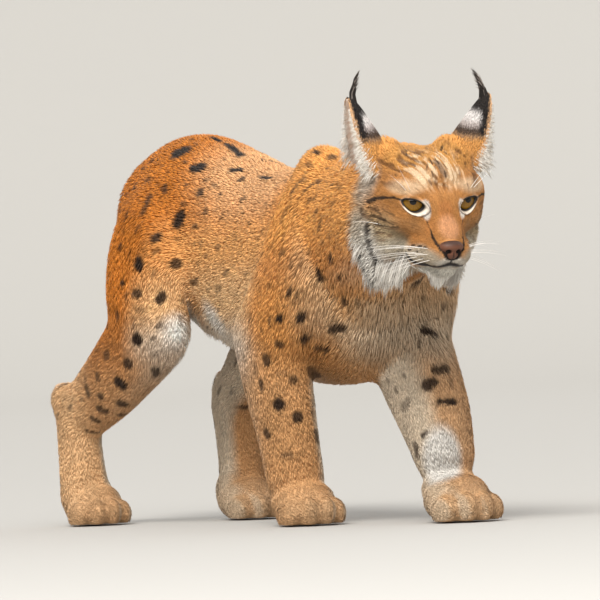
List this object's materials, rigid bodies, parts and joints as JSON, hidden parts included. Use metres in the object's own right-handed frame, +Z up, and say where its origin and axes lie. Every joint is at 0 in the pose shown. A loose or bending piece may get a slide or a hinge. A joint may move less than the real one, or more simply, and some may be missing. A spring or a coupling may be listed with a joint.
{
  "type": "life-size animal model",
  "caption": "Life-size Eurasian lynx in a slow walk, head turned and lowered, with tufted ears, a cheek ruff, a spotted coat and a short tail; it stands on four flat soles.",
  "frame": {"origin": "middle of the bounding box's bottom, on the floor under the four soles", "axes": "+Z up; the body runs along Y with the head towards -Y; the animal's right side faces -X"},
  "size_m": [0.2956, 0.9304, 0.5376],
  "materials": {
    "coat": "dense soft fur, rust with dark spots above and cream below",
    "ear_fur": "short fur, black with a pale patch, orange rim",
    "nose_leather": "fine-grained, slightly moist",
    "eye": "wet gloss, amber iris with a round black pupil"
  },
  "bodies": {
    "root": {"nose": "nose_leather", "eye_left": "eye", "eye_right": "eye", "ear_left": "ear_fur", "ear_right": "ear_fur", "head": "coat", "neck": "coat", "tail": "coat", "hindleg_right_thigh": "coat", "hindleg_right_shank": "coat", "hindleg_right_foot": "coat", "hindleg_left_thigh": "coat", "hindleg_left_shank": "coat", "hindleg_left_foot": "coat", "foreleg_right_upper": "coat", "foreleg_right_forearm": "coat", "foreleg_right_paw": "coat", "foreleg_left_upper": "coat", "foreleg_left_forearm": "coat", "foreleg_left_paw": "coat", "torso": "coat"}
  },
  "joints": []
}
